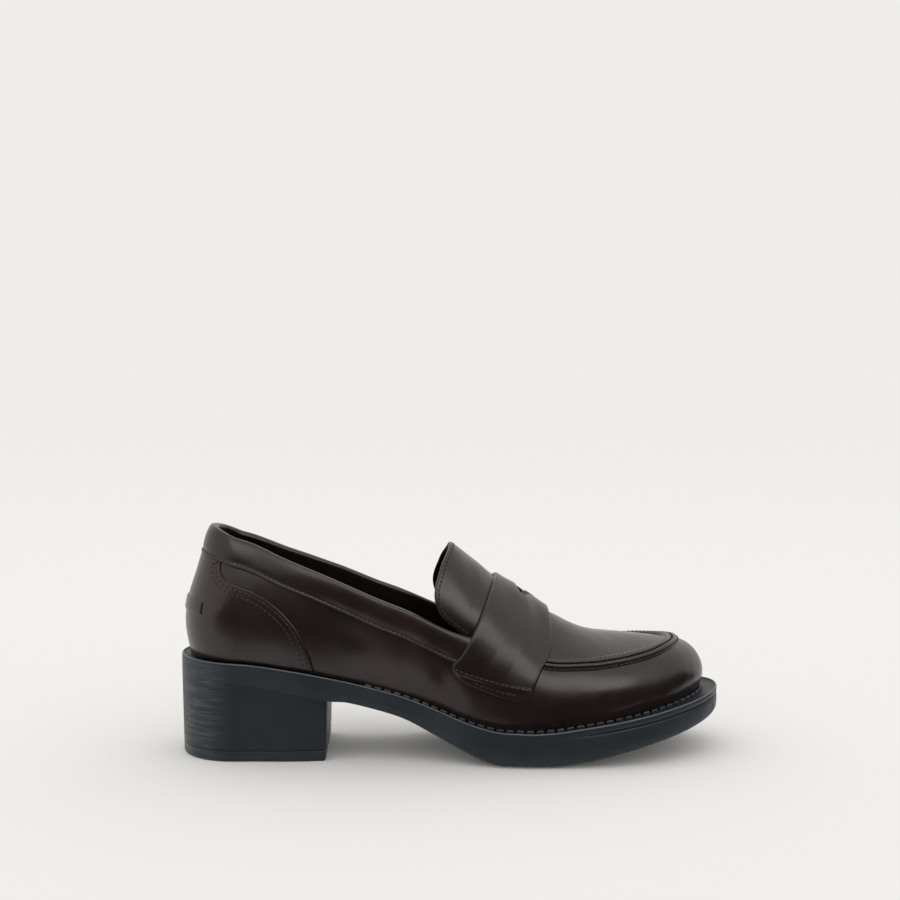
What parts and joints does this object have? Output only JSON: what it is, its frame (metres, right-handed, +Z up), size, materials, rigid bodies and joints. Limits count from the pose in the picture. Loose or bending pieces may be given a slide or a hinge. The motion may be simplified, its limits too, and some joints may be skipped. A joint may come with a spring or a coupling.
{
  "type": "loafer pump",
  "caption": "Right loafer pump with a hollow leather upper, saddle strap, standing tongue, raised apron seam, stitched welt and block heel.",
  "frame": {"origin": "on the floor under the middle of the block heel", "axes": "+X from heel to toe along the shoe's length, +Z up from the floor, +Y to the inner (medial) side"},
  "size_m": [0.257, 0.0911, 0.107],
  "materials": {
    "polished_calf": "polished",
    "moulded_rubber": "satin",
    "lining_leather": "matt"
  },
  "bodies": {
    "root": {"upper": "polished_calf", "tongue": "polished_calf", "strap": "polished_calf", "counter": "polished_calf", "collar_band": "polished_calf", "back_tab": "polished_calf", "apron_seam": "polished_calf", "insole": "lining_leather", "welt": "moulded_rubber", "outsole": "moulded_rubber", "heel": "moulded_rubber", "top_lift": "moulded_rubber"}
  },
  "joints": []
}
